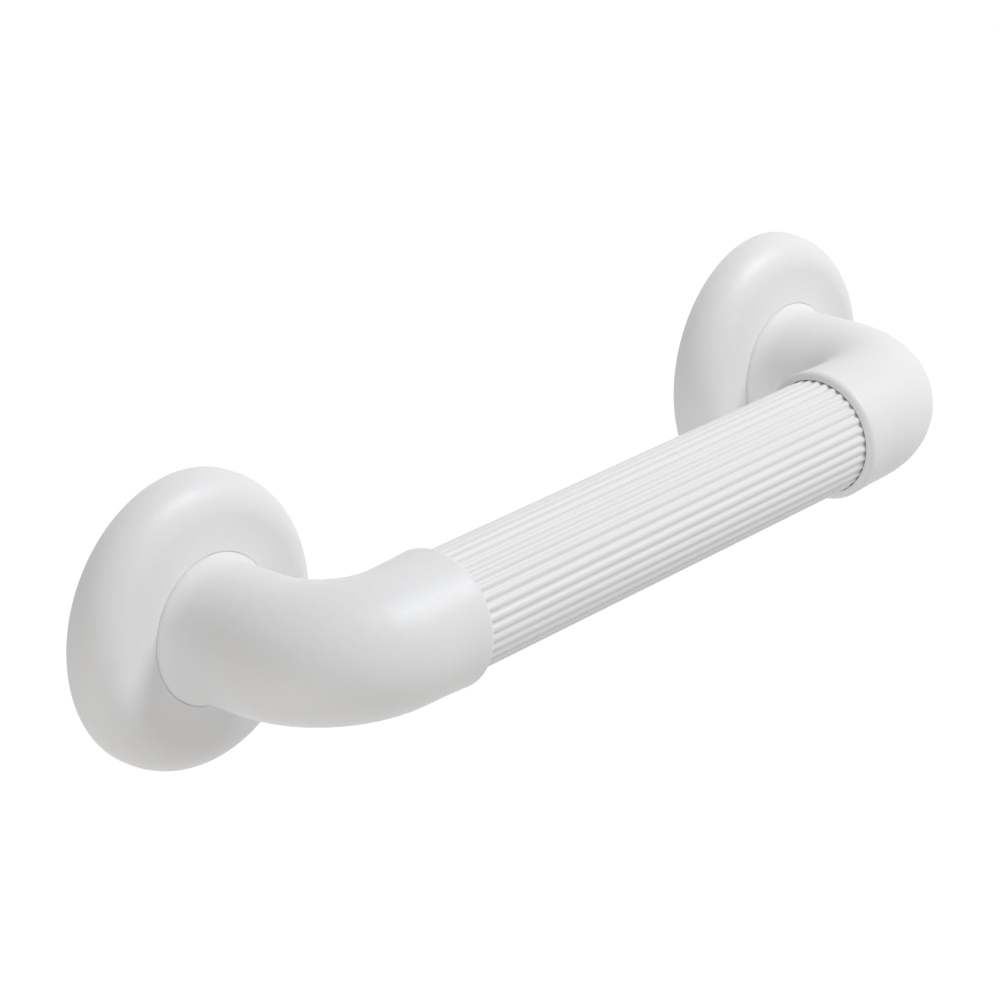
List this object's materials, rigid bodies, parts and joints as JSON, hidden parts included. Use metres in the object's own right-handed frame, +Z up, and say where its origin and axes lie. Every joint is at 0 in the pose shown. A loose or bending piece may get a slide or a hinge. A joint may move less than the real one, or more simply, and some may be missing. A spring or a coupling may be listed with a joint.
{
  "type": "grab bar",
  "caption": "Straight wall-mounted grab bar: a fluted plastic grip tube between moulded elbows, with round wall plates under domed push-fit covers.",
  "frame": {"origin": "on the wall plane, midway between the axes of the two wall plates", "axes": "+X along the bar, +Y into the wall, +Z up"},
  "size_m": [0.3998, 0.0908, 0.0998],
  "materials": {
    "tube_plastic": "white extruded plastic with a soft sheen and fine lengthways flutes",
    "elbow_plastic": "white moulded plastic, satin",
    "cover_plastic": "white moulded plastic, satin"
  },
  "bodies": {
    "root": {"grip_tube": "tube_plastic", "left_elbow": "elbow_plastic", "right_elbow": "elbow_plastic", "left_cover": "cover_plastic", "right_cover": "cover_plastic"}
  },
  "joints": []
}
